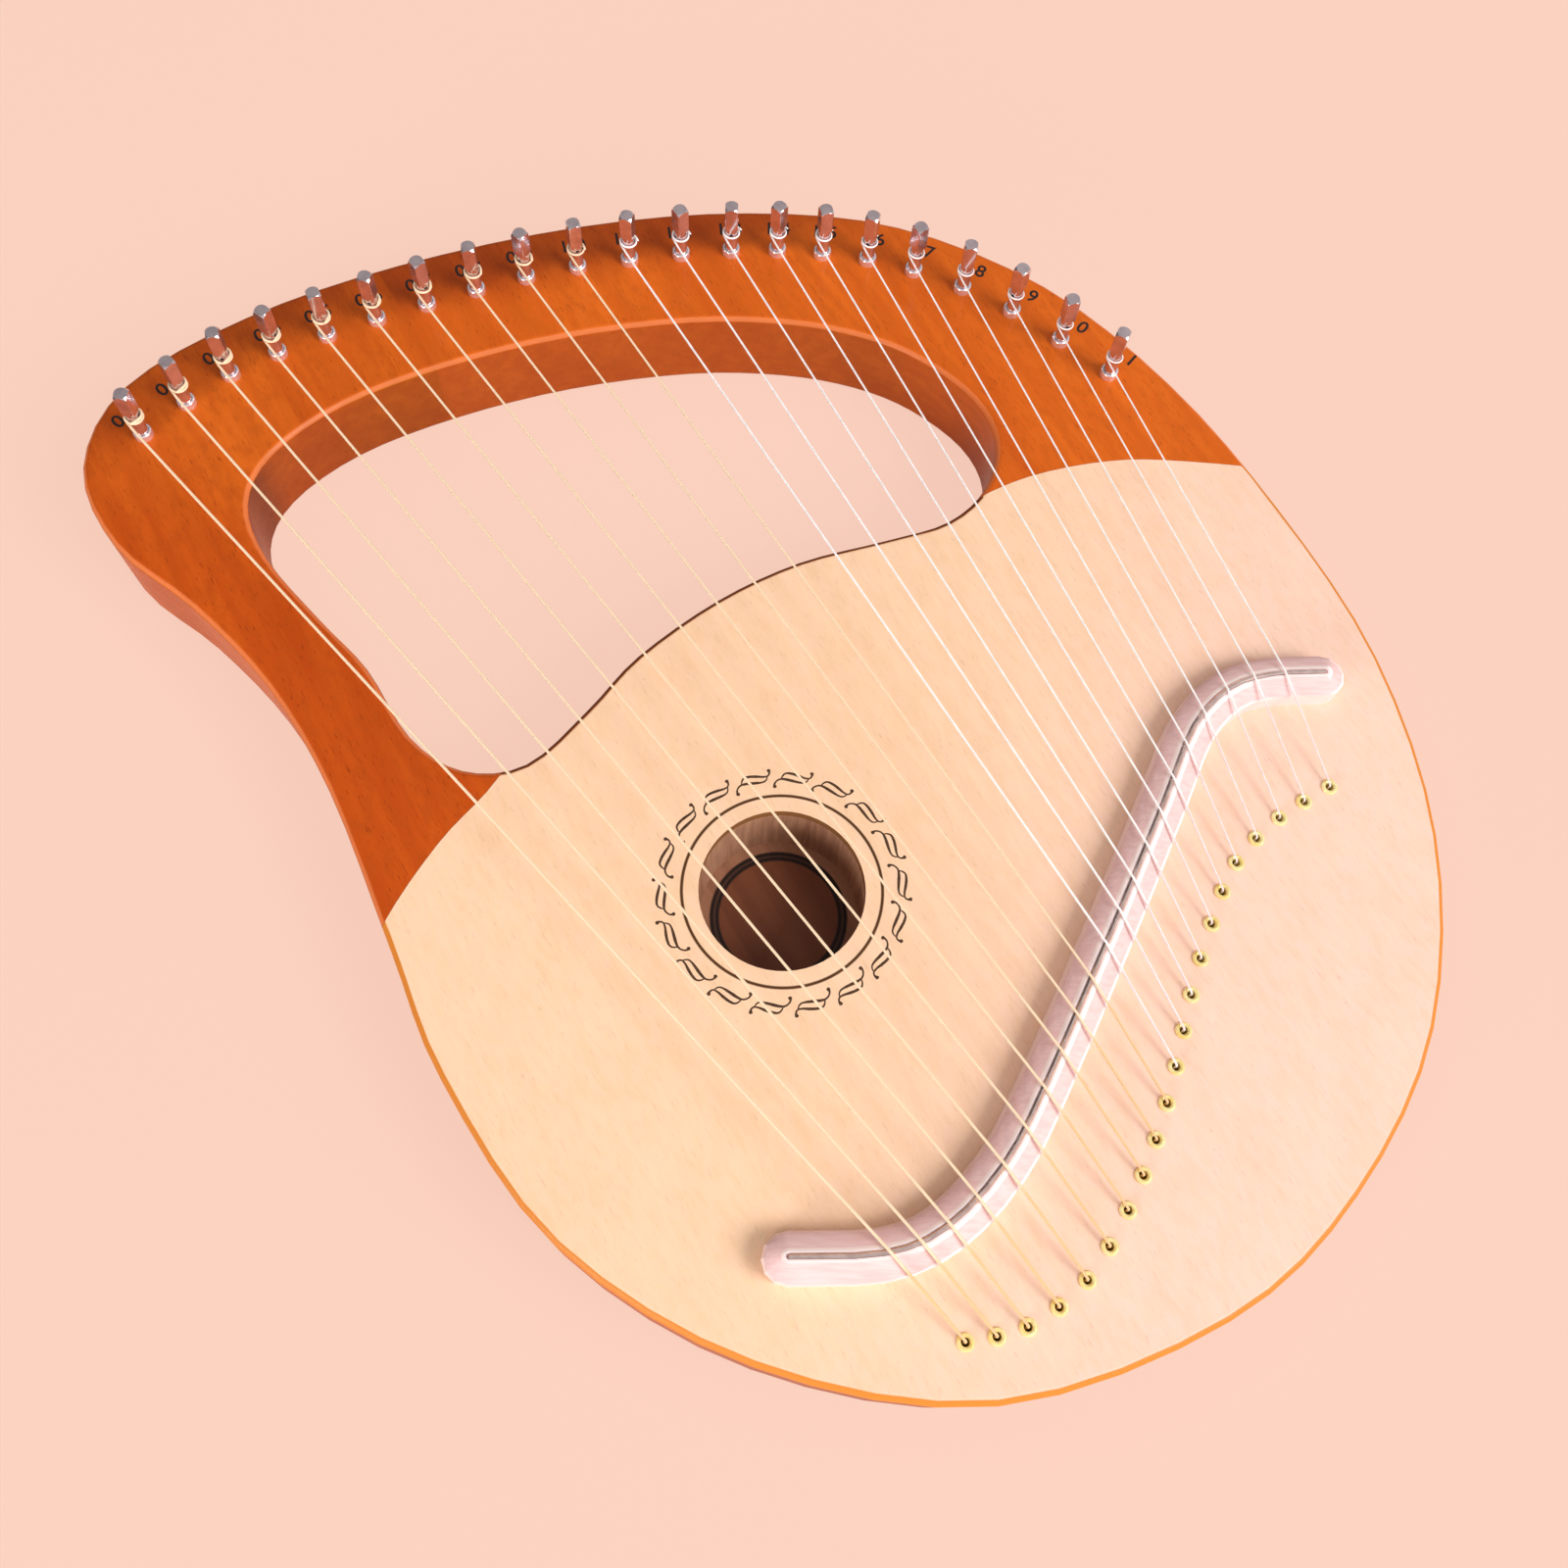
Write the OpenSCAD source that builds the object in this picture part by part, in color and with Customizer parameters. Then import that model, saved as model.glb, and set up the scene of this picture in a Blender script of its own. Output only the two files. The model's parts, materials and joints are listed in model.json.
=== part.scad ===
// Hand-held lyre harp with twenty-one strings, lying on its back.
// Millimetres. +Z comes out of the soundboard, +Y runs up the strings to the yoke.

/* [Body] */
// Width of the body, from the bass side to the treble side
body_w = 375; // [355:1:395]
// Length of the body, from the foot to the top of the yoke
body_l = 479; // [455:1:505]
// Thickness of the body, back to front
body_t = 35; // [28:1:45]
// Radius of the rounded outer edges
edge_r = 2.5; // [1:0.5:3]
// Thickness of the soundboard
board_t = 4; // [3:0.5:6]
// Thickness of the back plate
back_t = 4; // [3:0.5:6]
// Width of the wooden rim around the sound box
rim_w = 12; // [9:0.5:14]
// Glue line between the soundboard and the arms
glue_gap = 0.1; // [0.05:0.05:0.2]

/* [Sound hole] */
// Diameter of the sound hole
hole_d = 55; // [45:1:62]
// Wall of the block that the sound hole is bored through
well_wall = 11; // [8:1:15]
// Diameter of the ports from the well to the sound box
port_d = 14; // [8:1:16]

/* [Brace] */
// Width of the brace under the soundboard
brace_w = 8; // [6:1:12]
// Height of the brace under the soundboard
brace_h = 12; // [8:1:16]

/* [Bridge] */
// Width of the bridge at its foot
bridge_w = 16; // [13:0.5:18]
// Height of the bridge
bridge_h = 10; // [8:0.5:11]
// Diameter of the steel saddle rod
rod_d = 1.7; // [1.5:0.1:2.4]
// Clearance of the rod in its groove
rod_play = 0.08; // [0.02:0.01:0.1]

/* [Tuning pins] */
// Diameter of a tuning pin
pin_d = 4.8; // [4.4:0.1:5.2]
// Height of a pin above the wood
pin_h = 25; // [25:0.5:30]
// Depth of a pin in the wood
pin_depth = 20; // [15:0.5:22]
// Width across the flats of a pin's square head
head_w = 4.8; // [4.3:0.1:5.2]
// Length of a pin's square head
head_l = 10.5; // [8:0.5:11]
// Running clearance around a pin
pin_play = 0.05; // [0.02:0.01:0.1]
// Diameter of the string hole in a pin
pin_hole_d = 1.4; // [1.2:0.1:1.6]
// Outer diameter of the ferrule around a pin
ferrule_d = 6.8; // [6.4:0.1:7.4]
// Height of a ferrule above the wood
ferrule_h = 3; // [2:0.5:4]
// Depth of a ferrule in the wood
ferrule_depth = 9; // [6:0.5:12]
// Clearance of a ferrule in its hole
ferrule_play = 0.02; // [0.01:0.01:0.05]

/* [Strings] */
// Diameter of the lowest string
bass_d = 1; // [0.8:0.1:1.1]
// Diameter of the highest string
treble_d = 0.6; // [0.4:0.1:0.8]
// Turns of the lowest string around its pin
bass_turns = 1.8; // [1.2:0.1:2.2]
// Turns of the highest string around its pin
treble_turns = 1.3; // [1.2:0.1:2.2]
// Gap between the turns of a string
turn_gap = 0.45; // [0.42:0.01:0.5]
// Clearance between the turns and the pin
coil_play = 0.4; // [0.3:0.05:0.5]
// Height above the wood at which a string leaves its pin
leave_h = 10; // [8:0.5:10.5]
// Gap between a string and the saddle rod
rest_gap = 0.03; // [0.01:0.01:0.1]

/* [Eyelets] */
// Diameter of an eyelet's flange
eyelet_d = 5.6; // [5:0.1:6]
// Diameter of the hole in an eyelet
eyelet_bore = 2.7; // [2.2:0.1:3]
// Wall of an eyelet's tube
eyelet_wall = 0.35; // [0.25:0.05:0.45]
// Height of an eyelet's flange
flange_h = 0.8; // [0.6:0.1:1]
// Length of an eyelet's tube
eyelet_l = 6; // [5:0.5:10]
// Width of the block that the strings are anchored in
tail_w = 13; // [11:0.5:13.5]
// Diameter of a string's ball end
ball_d = 4; // [3.8:0.1:4.6]
// Length of a string's ball end
ball_l = 3.5; // [3:0.5:5]
// Diameter of the pocket that a ball end sits in
pocket_d = 5.2; // [5:0.1:6]
// Depth of that pocket from the back
pocket_l = 10; // [8:0.5:12]

/* [Hidden] */
$fn = 48;
strings = 21;
// Steps on each span of the large outlines and of the bridge, and on a round end
outline_steps = 4;
bridge_steps = 3;
end_steps = 6;
// Angle between the facets of a rounded edge
round_step = 30;
// Angle between the rings of a string's turns
coil_angle = 36;
// Each pin's head and string hole are turned this much further than the last
head_turn = 53;
// Height over which a pin's round shank reaches into its head
run_out = 0.8;
// Directions of the ports in the wall of the sound hole
port_turns = [195, 225, 255];
// How far a cutter runs past the face that it cuts
over = 1;
// The small clearance of a tube in a drilled hole
drill_play = 0.05;

// Points that the outlines pass through as drawn, from the centre of the sound hole
drawn_body = [
    [48, -184], [105, -174.5], [159.5, -145.5], [203, -94], [227.5, -31], [234, 35],
    [231, 100], [214.5, 161.5], [179.5, 213.5], [131, 248], [70, 273.5], [0, 290],
    [-60, 295], [-110.5, 287.5], [-137, 262], [-139, 226], [-125, 190], [-115, 150],
    [-113, 105], [-119, 46], [-123.5, 0], [-116, -62.5], [-82, -122], [-25.5, -168]
];
drawn_hand = [
    [-52, 81.5], [-25, 89], [0, 98.5], [35, 104], [68, 103], [100, 95.5],
    [124, 91], [144, 96.5], [158, 111], [161, 131], [153, 155.5], [139, 175.5],
    [117, 194.5], [85, 213], [40, 229.5], [-5, 239], [-45, 241.5], [-76, 234.5],
    [-92, 219.5], [-95, 196], [-89, 165], [-83, 140], [-81.5, 110], [-71.5, 90]
];
// The shoulder line, which crosses the open hand hole between the two shoulders
drawn_left = [[-150, 27], [-118, 53.5], [-90, 70], [-68, 78.5], [-52, 87]];
drawn_crossing = [[0, 125], [100, 120]];
drawn_right = [[130, 94], [160, 92], [190, 83], [215, 69], [262, 36]];
drawn_bridge = [
    [-58, -101], [-33, -114.5], [-13, -117.5], [12, -111], [37, -97], [86, -65],
    [125, -38.5], [149, -22], [168, -16.5], [184, -19.5], [201, -28]
];
// Every second tuning pin and every second eyelet, from the lowest string
drawn_pins = [
    [-112.5, 263.5], [-75, 272.5], [-37, 271.5], [1.5, 266.5], [40, 260], [78.5, 248.5],
    [115, 233.5], [145.5, 215.5], [172.5, 191.5], [195.5, 157], [212, 115]
];
drawn_eyelets = [
    [-24.5, -148], [-6, -154], [17, -152], [39.5, -141.5], [59.5, -128.5], [78.5, -113],
    [96.5, -96.5], [116.5, -80.5], [136.5, -67.5], [159, -62], [181, -61.5]
];
// Glue seam between the two boards of the frame, and the ends of the brace
drawn_seam = [[-8, 265]];
drawn_brace = [[-90, 52], [200, 52]];

// Point between b and c on a smooth curve that also passes a and d
function smooth(a, b, c, d, t) =
    0.5 * (2 * b + (c - a) * t + (2 * a - 5 * b + 4 * c - d) * t * t
    + (3 * b - a - 3 * c + d) * t * t * t);
// Closed smooth loop through points c, with n steps a span
function loop(c, n) = let (m = len(c))
    [for (i = [0:m - 1], j = [0:n - 1])
        smooth(c[(i + m - 1) % m], c[i], c[(i + 1) % m], c[(i + 2) % m], j / n)];
// Place u, from 0 to len(c) - 1, on the open smooth curve through points c
function along(c, u) = let (m = len(c) - 1, i = min(floor(u), m - 1))
    smooth(i > 0 ? c[i - 1] : 2 * c[0] - c[1], c[i], c[i + 1],
        i + 2 <= m ? c[i + 2] : 2 * c[m] - c[m - 1], u - i);
// Open smooth curve through points c, with n steps a span
function curve(c, n) = [for (j = [0:n * (len(c) - 1)]) along(c, j / n)];
function unit(v) = v / norm(v);
function left_of(v) = [-v.y, v.x];
function turned(v, a) = [v.x * cos(a) - v.y * sin(a), v.x * sin(a) + v.y * cos(a)];
function lifted(p, z) = [p.x, p.y, z];
function backwards(p) = [for (i = [len(p) - 1:-1:0]) p[i]];
// Loop p, which runs anticlockwise, moved inwards by d
function inset(p, d) = let (m = len(p))
    [for (i = [0:m - 1]) p[i] + d * left_of(unit(p[(i + 1) % m] - p[(i + m - 1) % m]))];
// Direction of an open curve p at its point i
function heading(p, i) = unit(p[min(i + 1, len(p) - 1)] - p[max(i - 1, 0)]);
// Open curve p moved to its left by d
function beside(p, d) = [for (i = [0:len(p) - 1]) p[i] + d * left_of(heading(p, i))];
// Round end from the right of a curve to its left, with half widths a and b
function round_end(p, v, a, b, n) = [for (i = [1:n - 1]) let (t = 180 * i / n)
    p + turned(-left_of(v), t) * (a * pow(cos(t / 2), 2) + b * pow(sin(t / 2), 2))];
// Loop around an open curve p from the tip of its start, a wide on its right and b on its left;
// n is even
function around(p, a, b, n) =
    let (m = len(p) - 1, start = round_end(p[0], -heading(p, 0), b, a, n), tip = n / 2 - 1)
    concat([for (i = [tip:n - 2]) start[i]], beside(p, -a), round_end(p[m], heading(p, m), a, b, n),
        backwards(beside(p, b)), [for (i = [0:tip - 1]) start[i]]);

// Lowest and highest corner of the box around points p
function low_corner(p) = [min([for (q = p) q.x]), min([for (q = p) q.y])];
function high_corner(p) = [max([for (q = p) q.x]), max([for (q = p) q.y])];
drawn_loop = loop(drawn_body, outline_steps);
drawn_size = high_corner(drawn_loop) - low_corner(drawn_loop);
// Drawn points p at the width and length of the body
function placed(p) = [for (q = p) [q.x * body_w / drawn_size.x, q.y * body_l / drawn_size.y]];

body_loop = placed(drawn_loop);
hand_loop = loop(placed(drawn_hand), outline_steps);
// Middle of the outline, which is the origin of the part
middle = (low_corner(body_loop) + high_corner(body_loop)) / 2;
// Size of the box that every cutter reaches past
reach = body_w + body_l;
pin_points = placed(drawn_pins);
eyelet_points = placed(drawn_eyelets);
seam_x = placed(drawn_seam)[0].x;
brace_ends = placed(drawn_brace);
board_z = body_t - board_t;
box_h = board_z - back_t;
board_edge_r = min(edge_r, board_t - 0.5);
back_edge_r = min(edge_r, back_t - 0.5);
well_d = hole_d + 2 * well_wall;
rod_line = curve(placed(drawn_bridge), bridge_steps);
rod_z = body_t + bridge_h;
rod_top = rod_z + rod_d / 2;
shoulder_line = concat(
    curve(placed(drawn_left), outline_steps), placed(drawn_crossing),
    curve(placed(drawn_right), outline_steps));

// Names and places of the pieces that come once a string; k counts from 1
function numbered(name, k) = str(name, k < 10 ? "_0" : "_", k);
function share(k) = (k - 1) / (strings - 1);
function pin_at(k) = along(pin_points, share(k) * (len(pin_points) - 1));
function eyelet_at(k) = along(eyelet_points, share(k) * (len(eyelet_points) - 1));
function string_d(k) = bass_d + (treble_d - bass_d) * share(k);
function turns(k) = bass_turns + (treble_turns - bass_turns) * share(k);
function turn_step(k) = string_d(k) + turn_gap;
function coil_r(k) = pin_d / 2 + coil_play + string_d(k) / 2;
function tail_h(k) = leave_h + turns(k) * turn_step(k);
// Which side of the line from a to b point p lies on
function side(a, b, p) = (b.x - a.x) * (p.y - a.y) - (b.y - a.y) * (p.x - a.x);
// Where the line from a to b crosses the saddle rod
function rod_crossing(a, b) = [for (i = [0:len(rod_line) - 2])
    let (s = side(a, b, rod_line[i]), t = side(a, b, rod_line[i + 1]))
    if (s * t <= 0 && s != t) rod_line[i] + (rod_line[i + 1] - rod_line[i]) * s / (s - t)][0];

// Inset and height of the facets of a rounded lower or upper edge, run past the face;
// s is 1 for an outer edge and -1 for the edge of a hole
function low_edge(r, s) = concat([[s * (r + over), -over * tan(round_step / 2)]],
    [for (a = [round_step:round_step:90]) [s * r * (1 - sin(a)), r * (1 - cos(a))]]);
function top_edge(r, s) = concat(
    [for (a = [0:round_step:90 - round_step]) [s * r * (1 - cos(a)), body_t - r + r * sin(a)]],
    [[s * (r + over), body_t + over * tan(round_step / 2)]]);
function rings(p, profile) = [for (q = profile) [for (v = inset(p, q[0])) lifted(v, q[1])]];

// Faces that close a ring of n points, in a strip from its first point to the opposite one
function ring_cap(n) = concat(
    [for (i = [0:n / 2 - 2]) [i, i + 1, n - 1 - i]], [for (i = [1:n / 2 - 1]) [i, n - 1 - i, n - i]]);

// Solid through rings of points, each anticlockwise, from the lowest to the highest
module skin(rings) {
    n = len(rings[0]);
    m = len(rings);
    polyhedron(
        points = [for (r = rings) each r],
        faces = concat(
            ring_cap(n),
            [for (f = ring_cap(n)) [for (i = backwards(f)) (m - 1) * n + i]],
            [for (k = [0:m - 2], i = [0:n - 1])
                let (a = k * n + i, b = k * n + (i + 1) % n)
                each [[a, a + n, b], [b, a + n, b + n]]]));
}

module centred() {
    translate([-middle.x, -middle.y, 0])
        children();
}

module at(p, z) {
    translate([p.x, p.y, z])
        children();
}

// Everything below the shoulder line, moved down by d
module below_shoulders(d, z, h) {
    translate([0, -d, z])
        linear_extrude(h)
            polygon(concat(shoulder_line, [[reach, 0], [reach, -reach], [-reach, -reach], [-reach, 0]]));
}

// Everything above the shoulder line, moved down by d
module above_shoulders(d, z, h) {
    translate([0, -d, z])
        linear_extrude(h)
            polygon(concat(backwards(shoulder_line),
                [[-reach, 0], [-reach, reach], [reach, reach], [reach, 0]]));
}

// The part of a shape between the heights z0 and z1, and from x0 to x1
module slab(z0, z1, x0, x1) {
    intersection() {
        translate([x0, -reach, z0])
            cube([x1 - x0, 2 * reach, z1 - z0]);
        children();
    }
}

// The hollow of the sound box, inside the rim
module sound_box() {
    difference() {
        intersection() {
            translate([0, 0, back_t - over])
                linear_extrude(box_h + 2 * over)
                    polygon(inset(body_loop, rim_w));
            below_shoulders(rim_w, 0, body_t);
        }
        linear_extrude(body_t)
            polygon(inset(hand_loop, -rim_w));
    }
}

module pin_hole(k) {
    at(pin_at(k), body_t) {
        translate([0, 0, -pin_depth - drill_play])
            cylinder(h = pin_depth + over, r = pin_d / 2 + pin_play);
        translate([0, 0, -ferrule_depth])
            cylinder(h = ferrule_depth + over, r = ferrule_d / 2 + ferrule_play);
    }
}

// One board of the frame, from one side of the glue seam
module frame_board(from_x, to_x) {
    color("chocolate")
        centred()
            difference() {
                slab(0, body_t, from_x, to_x)
                    skin(rings(body_loop, concat(low_edge(edge_r, 1), top_edge(edge_r, 1))));
                skin(rings(hand_loop, concat(low_edge(edge_r, -1), top_edge(edge_r, -1))));
                below_shoulders(0, board_z, board_t + over);
                below_shoulders(0, -over, back_t + over);
                sound_box();
                for (k = [1:strings])
                    if (pin_at(k).x > from_x && pin_at(k).x < to_x)
                        pin_hole(k);
            }
}

module frame_bass_board() {
    frame_board(-reach, seam_x);
}

module frame_treble_board() {
    frame_board(seam_x, reach);
}

module soundboard() {
    color("navajowhite")
        centred()
            difference() {
                slab(board_z, body_t, -reach, reach)
                    skin(rings(body_loop, concat([[0, board_z - over]], top_edge(board_edge_r, 1))));
                skin(rings(hand_loop, concat([[0, board_z - over]], top_edge(board_edge_r, -1))));
                above_shoulders(glue_gap, board_z - over, board_t + 2 * over);
                translate([0, 0, board_z - over])
                    cylinder(h = board_t + 2 * over, d = hole_d, $fn = 96);
                for (k = [1:strings])
                    at(eyelet_at(k), board_z - over)
                        cylinder(h = board_t + 2 * over, r = eyelet_bore / 2 + eyelet_wall + drill_play);
            }
}

module back_plate() {
    color("sienna")
        centred()
            difference() {
                slab(0, back_t, -reach, reach)
                    skin(rings(body_loop, concat(low_edge(back_edge_r, 1), [[0, back_t + over]])));
                skin(rings(hand_loop, concat(low_edge(back_edge_r, -1), [[0, back_t + over]])));
                above_shoulders(glue_gap, -over, back_t + 2 * over);
                for (k = [1:strings])
                    at(eyelet_at(k), -over)
                        cylinder(h = back_t + 2 * over, d = pocket_d);
            }
}

// The bored block that forms the wall of the sound hole, with ports to the sound box
module well_block() {
    color("saddlebrown")
        centred()
            difference() {
                translate([0, 0, back_t])
                    cylinder(h = box_h, d = well_d, $fn = 96);
                translate([0, 0, back_t - over])
                    cylinder(h = box_h + 2 * over, d = hole_d, $fn = 96);
                for (a = port_turns)
                    rotate(a)
                        translate([0, 0, back_t + box_h / 2])
                            rotate([0, 90, 0])
                                cylinder(h = well_d, d = port_d);
            }
}

// The block under the eyelets that holds the strings' ball ends
module tail_block() {
    line = curve(eyelet_points, outline_steps);
    color("peru")
        centred()
            difference() {
                translate([0, 0, back_t])
                    linear_extrude(box_h)
                        intersection() {
                            polygon(around(line, tail_w / 2, tail_w / 2, end_steps));
                            polygon(inset(body_loop, rim_w + glue_gap));
                        }
                for (k = [1:strings])
                    at(eyelet_at(k), 0) {
                        cylinder(h = pocket_l, d = pocket_d);
                        cylinder(h = body_t, d = eyelet_bore);
                        translate([0, 0, body_t - eyelet_l - drill_play])
                            cylinder(h = eyelet_l, r = eyelet_bore / 2 + eyelet_wall + drill_play);
                    }
            }
}

module cross_brace() {
    color("burlywood")
        centred()
            at(brace_ends[0], board_z - brace_h)
                translate([0, -brace_w / 2, 0])
                    cube([brace_ends[1].x - brace_ends[0].x, brace_w, brace_h]);
}

// Half width and height of a round rod's flats, below its centre line
function rod_side(r) = [for (a = [0, 22.5, 67.5]) [r * cos(a), -r * sin(a)]];

// The bridge: flat towards the eyelets, rounded towards the yoke, with a groove for the rod
module bridge() {
    half = bridge_w / 2;
    // Share of the height, and of the half width towards the eyelets and towards the yoke
    shares = [[0, 1, 1], [0.45, 1, 1], [0.66, 1, 0.92], [0.72, 1, 0.85], [0.755, 0.96, 0.8],
        [0.84, 0.68, 0.66], [0.92, 0.42, 0.46], [1, 0.2, 0.2]];
    sides = [for (q = shares) [q[0] * bridge_h, q[1] * half, q[2] * half]];
    groove = [for (q = rod_side(rod_d / 2 + rod_play)) [bridge_h + q[1], q[0], q[0]]];
    color("mistyrose")
        centred()
            skin([for (q = concat(sides, groove)) [for (v = around(rod_line, q[1], q[2], end_steps))
                lifted(v, body_t + q[0])]]);
}

// The eight-sided saddle rod in the groove of the bridge
module saddle_rod() {
    color("silver")
        centred()
            skin([for (i = [0:len(rod_line) - 1])
                let (v = left_of(heading(rod_line, i)))
                [for (a = [22.5:45:337.5])
                    lifted(rod_line[i] + v * rod_d / 2 * cos(a), rod_z + rod_d / 2 * sin(a))]]);
}

module eyelets() {
    bore = eyelet_bore / 2;
    tube = bore + eyelet_wall;
    rim = eyelet_d / 2;
    color("gold")
        centred()
            for (k = [1:strings])
                at(eyelet_at(k), body_t)
                    rotate_extrude()
                        polygon([
                            [bore, -eyelet_l], [tube, -eyelet_l], [tube, 0], [rim, 0],
                            [rim, 0.3 * flange_h], [rim - 0.35 * flange_h, 0.85 * flange_h],
                            [rim - flange_h, flange_h], [bore + 0.45 * flange_h, 0.9 * flange_h],
                            [bore, 0.4 * flange_h]
                        ]);
}

module ball_ends() {
    color("goldenrod")
        centred()
            for (k = [1:strings])
                at(eyelet_at(k), pocket_l - ball_l)
                    cylinder(h = ball_l, d = ball_d);
}

module pin_ferrules() {
    bore = pin_d / 2 + pin_play;
    rim = ferrule_d / 2;
    chamfer = 0.3 * (rim - bore);
    color("gainsboro")
        centred()
            for (k = [1:strings])
                at(pin_at(k), body_t)
                    rotate_extrude()
                        polygon([
                            [bore, -ferrule_depth], [rim, -ferrule_depth], [rim, ferrule_h - 2 * chamfer],
                            [rim - chamfer, ferrule_h - 0.5 * chamfer], [rim - 2 * chamfer, ferrule_h],
                            [bore, ferrule_h]
                        ]);
}

// A tuning pin: a round shank with a string hole, which runs out into a square domed head
module tuning_pin(k) {
    neck_h = pin_h - head_l;
    corner_r = 0.67 * head_w;
    dome = 0.16 * head_w;
    color("silver")
        centred()
            at(pin_at(k), body_t)
                difference() {
                    union() {
                        translate([0, 0, -pin_depth])
                            cylinder(h = pin_depth + neck_h + run_out, d = pin_d);
                        rotate(k * head_turn)
                            intersection() {
                                translate([-head_w / 2, -head_w / 2, neck_h])
                                    cube([head_w, head_w, head_l]);
                                translate([0, 0, neck_h])
                                    union() {
                                        cylinder(h = head_l - dome, r = corner_r);
                                        translate([0, 0, head_l - dome])
                                            cylinder(h = dome, r1 = corner_r, r2 = corner_r - dome);
                                    }
                            }
                    }
                    translate([0, 0, tail_h(k)])
                        rotate([90, 0, k * head_turn])
                            cylinder(h = 2 * pin_d, d = pin_hole_d, center = true);
                }
}

// Route of a string: each entry is a point and the sideways direction there
function string_route(k) =
    let (
        pin = pin_at(k), eye = eyelet_at(k), r = string_d(k) / 2,
        rest = rod_crossing(pin, eye),
        out = rest - pin,
        n = turned(unit(out), -acos(coil_r(k) / norm(out))),
        leave = pin + coil_r(k) * n,
        run = unit(rest - leave), rise = unit(rest - eye),
        n3 = lifted(n, 0),
        rest_z = rod_top + r + rest_gap,
        eye_z = body_t + flange_h + 2 * r,
        crest = rod_d / 2 + r,
        slope = (rest_z - eye_z) / norm(rest - eye),
        start = atan2(n.y, n.x)
    )
    concat(
        [[lifted(eye, pocket_l), n3], [lifted(eye, eye_z - r), n3]],
        [[lifted(eye + rise * r, eye_z + r * slope), n3]],
        [[lifted(rest - rise * crest, rest_z - crest * slope), n3], [lifted(rest, rest_z), n3]],
        [[lifted(rest - run * crest, rest_z), n3]],
        [for (a = [0:coil_angle:360 * turns(k)]) let (v = turned(n, -a))
            [lifted(pin + coil_r(k) * v, body_t + leave_h + turn_step(k) * a / 360), lifted(v, 0)]],
        [let (a = 360 * turns(k), v = turned(n, -a))
            [lifted(pin + coil_r(k) * v + turned(v, -90) * 2 * string_d(k) + v * 0.5 * string_d(k),
                body_t + tail_h(k)), lifted(v, 0)]]);
// Least gap between the turns of a string, measured on its points
function least_gap(k) = let (q = string_route(k), apart = ceil(180 / coil_angle))
    min([for (i = [0:len(q) - 1 - apart], j = [i + apart:len(q) - 1]) norm(q[i][0] - q[j][0])])
    - string_d(k);

function route_heading(q, i) = unit(q[min(i + 1, len(q) - 1)][0] - q[max(i - 1, 0)][0]);
// Six-sided rings along a route
function route_rings(q, r) = [for (i = [0:len(q) - 1])
    let (f = route_heading(q, i), s = unit(q[i][1] - (q[i][1] * f) * f), t = cross(f, s))
    [for (a = [0:60:300]) q[i][0] + r * (cos(a) * s + sin(a) * t)]];

module string(k) {
    color(k <= 10 ? "wheat" : "whitesmoke")
        centred()
            skin(route_rings(string_route(k), string_d(k) / 2));
}

echo("least gap of a string to itself", min([for (k = [1:strings]) least_gap(k)]));

frame_bass_board();
frame_treble_board();
soundboard();
back_plate();
well_block();
tail_block();
cross_brace();
bridge();
saddle_rod();
eyelets();
ball_ends();
pin_ferrules();
for (k = [1:strings]) {
    tuning_pin(k);
    string(k);
}
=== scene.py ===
"""Looks of a hand-held lyre harp with twenty-one strings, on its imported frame.

The harp lies on its back. +Y runs up the strings to the yoke, and +Z comes out of the soundboard.
Sizes in the dataclasses are millimetres, colours are sRGB from 0 to 255.
"""

import json
import logging
import math
from dataclasses import dataclass
from enum import Enum, IntEnum
from typing import Any

import bpy
from bpy.types import Material, Node, NodeSocket, Object
from mathutils import Matrix, Vector

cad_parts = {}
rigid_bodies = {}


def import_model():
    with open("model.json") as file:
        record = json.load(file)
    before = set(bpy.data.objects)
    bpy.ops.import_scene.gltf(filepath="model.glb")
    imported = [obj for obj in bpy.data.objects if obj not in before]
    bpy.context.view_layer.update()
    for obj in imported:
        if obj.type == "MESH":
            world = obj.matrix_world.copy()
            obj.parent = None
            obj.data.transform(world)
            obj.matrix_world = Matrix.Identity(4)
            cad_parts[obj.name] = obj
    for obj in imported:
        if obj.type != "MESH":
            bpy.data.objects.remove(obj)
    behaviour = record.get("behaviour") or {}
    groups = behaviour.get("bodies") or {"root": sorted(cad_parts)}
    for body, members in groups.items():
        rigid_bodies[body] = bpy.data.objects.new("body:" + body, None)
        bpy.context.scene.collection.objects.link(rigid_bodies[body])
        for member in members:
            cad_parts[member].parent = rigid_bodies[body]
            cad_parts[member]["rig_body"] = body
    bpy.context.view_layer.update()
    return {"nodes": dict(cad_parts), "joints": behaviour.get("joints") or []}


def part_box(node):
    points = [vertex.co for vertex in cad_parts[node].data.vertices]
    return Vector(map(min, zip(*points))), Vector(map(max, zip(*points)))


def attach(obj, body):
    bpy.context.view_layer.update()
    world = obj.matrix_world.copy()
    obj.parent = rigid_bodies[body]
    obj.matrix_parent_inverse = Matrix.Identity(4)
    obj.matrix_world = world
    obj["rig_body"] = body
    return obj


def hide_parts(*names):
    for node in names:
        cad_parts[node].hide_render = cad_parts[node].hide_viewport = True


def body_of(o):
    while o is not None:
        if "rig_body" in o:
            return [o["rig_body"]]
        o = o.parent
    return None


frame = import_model()

MM = 0.001
STRINGS = 21
BODY = "harp_body"
log = logging.getLogger("lyre_harp")

Colour = tuple[float, float, float]
Pair = tuple[float, float]
Triple = tuple[float, float, float]

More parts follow.
